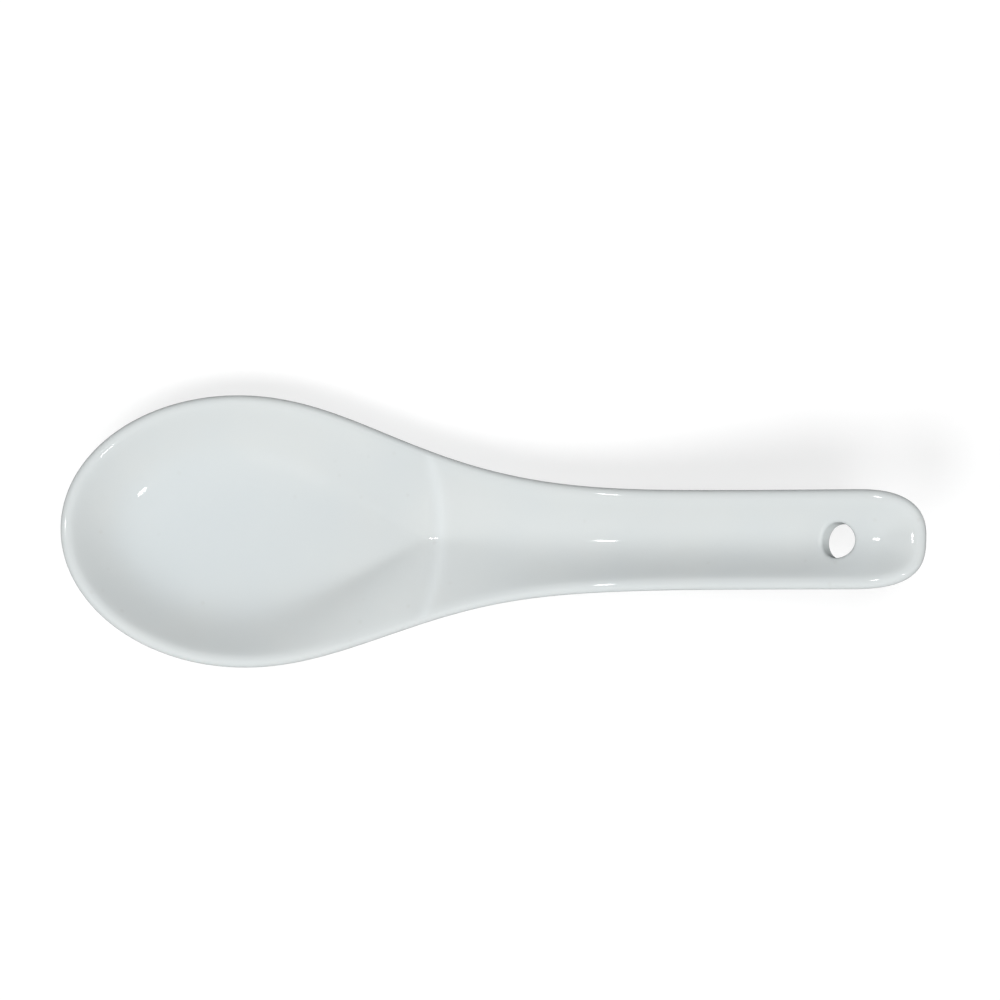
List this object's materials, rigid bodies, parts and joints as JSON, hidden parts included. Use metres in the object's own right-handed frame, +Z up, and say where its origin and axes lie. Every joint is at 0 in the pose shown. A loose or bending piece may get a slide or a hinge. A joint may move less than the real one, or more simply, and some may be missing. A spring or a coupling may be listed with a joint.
{
  "type": "tea tasting spoon",
  "caption": "Short porcelain spoon with a flat-floored oval bowl, a low crest at the neck and a rising channelled handle with a hanging hole. It stands on a bare flat foot.",
  "frame": {"origin": "centre of the flat unglazed foot, on the surface that the spoon stands on", "axes": "+X from the lip of the bowl towards the end of the handle, +Y across the bowl, +Z up"},
  "size_m": [0.135, 0.0432, 0.0346],
  "materials": {
    "porcelain": "bare fired porcelain",
    "glaze": "glossy white glaze"
  },
  "bodies": {
    "root": {"porcelain_body": "porcelain", "glaze_coat": "glaze"}
  },
  "joints": []
}
